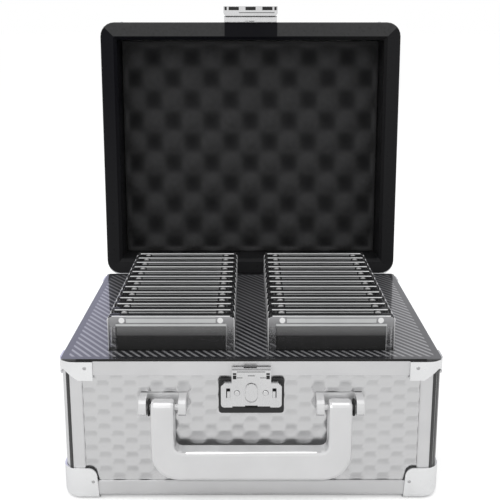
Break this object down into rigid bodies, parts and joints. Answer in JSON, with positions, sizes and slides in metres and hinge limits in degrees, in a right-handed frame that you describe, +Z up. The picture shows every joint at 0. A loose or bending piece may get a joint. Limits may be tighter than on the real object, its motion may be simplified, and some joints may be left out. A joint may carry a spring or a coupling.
{
  "type": "graded card storage case",
  "caption": "Aluminium-framed carry case with a hinged lid on foam, slotted foam under a thin deck holding card slabs in rows, a fold-down handle and a thumb latch.",
  "frame": {"origin": "middle of the open case's plan, on the floor under the feet", "axes": "+Z up; the front, with the handle and latch, faces -Y; +X to the right seen from the front"},
  "size_m": [0.2474, 0.291, 0.3188],
  "materials": {
    "frame_aluminium": "brushed satin extrusion",
    "dimpled_panel": "silver skin with shallow round dimples, over board",
    "corner_cap": "bright pressed steel",
    "carbon_deck": "fine dark twill weave under a clear coat",
    "black_foam": "matt black closed-cell foam",
    "egg_foam": "matt charcoal open-cell foam, convoluted",
    "gloss_liner": "gloss black board",
    "slab_clear": "clear polished acrylic",
    "handle_silver": "satin silver moulding",
    "latch_metal": "satin nickel plate",
    "latch_black": "semi-matt black",
    "hinge_steel": "plated steel"
  },
  "bodies": {
    "case_body": {"body_frame": "frame_aluminium", "body_front_panel": "dimpled_panel", "body_back_panel": "dimpled_panel", "body_left_panel": "dimpled_panel", "body_right_panel": "dimpled_panel", "body_floor_panel": "dimpled_panel", "foam_insert": "black_foam", "deck_panel": "carbon_deck", "latch_base_plate": "latch_black", "latch_cover": "latch_metal", "handle_bracket_left": "handle_silver", "handle_bracket_right": "handle_silver", "hinge_body_leaf": "hinge_steel", "hinge_pin": "hinge_steel", "top_cap_front_left": "corner_cap", "foot_cap_front_left": "corner_cap", "top_cap_front_right": "corner_cap", "foot_cap_front_right": "corner_cap", "top_cap_back_right": "corner_cap", "foot_cap_back_right": "corner_cap", "top_cap_back_left": "corner_cap", "foot_cap_back_left": "corner_cap", "slab_left_01": "slab_clear", "slab_left_02": "slab_clear", "slab_left_03": "slab_clear", "slab_left_04": "slab_clear", "slab_left_05": "slab_clear", "slab_left_06": "slab_clear", "slab_left_07": "slab_clear", "slab_left_08": "slab_clear", "slab_left_09": "slab_clear", "slab_left_10": "slab_clear", "slab_left_11": "slab_clear", "slab_left_12": "slab_clear", "slab_left_13": "slab_clear", "slab_right_01": "slab_clear", "slab_right_02": "slab_clear", "slab_right_03": "slab_clear", "slab_right_04": "slab_clear", "slab_right_05": "slab_clear", "slab_right_06": "slab_clear", "slab_right_07": "slab_clear", "slab_right_08": "slab_clear", "slab_right_09": "slab_clear", "slab_right_10": "slab_clear", "slab_right_11": "slab_clear", "slab_right_12": "slab_clear", "slab_right_13": "slab_clear"},
    "lid": {"lid_shell": "frame_aluminium", "lid_liner": "gloss_liner", "lid_foam": "egg_foam", "lid_catch": "latch_metal", "hinge_lid_leaf": "hinge_steel", "lid_rim_cap_front_left": "corner_cap", "lid_rim_cap_front_right": "corner_cap", "lid_rim_cap_back_right": "corner_cap", "lid_rim_cap_back_left": "corner_cap"},
    "handle": {"handle_grip": "handle_silver"},
    "latch_thumb": {"latch_thumb_slide": "latch_metal"},
    "latch_hook": {"latch_hook_plate": "latch_metal"}
  },
  "joints": [
    {"name": "lid_hinge", "type": "hinge", "parent": "case_body", "child": "lid", "pos_m": [0, 0.0812, 0.0928], "axis": [1, 0, 0], "range_deg": [0, 92.1]},
    {"name": "handle_pivot", "type": "hinge", "parent": "case_body", "child": "handle", "pos_m": [0, -0.1383, 0.0681], "axis": [-1, 0, 0], "range_deg": [0, 90]},
    {"name": "latch_slide", "type": "slide", "parent": "case_body", "child": "latch_thumb", "axis": [0, 0, -1], "range_m": [0, 0.0016]},
    {"name": "latch_hook_slide", "type": "slide", "parent": "case_body", "child": "latch_hook", "axis": [1, 0, 0], "range_m": [0, 0.0028]}
  ],
  "couplings": [
    {"joint": "latch_hook_slide", "follows": "latch_slide", "ratio": 1.75}
  ]
}
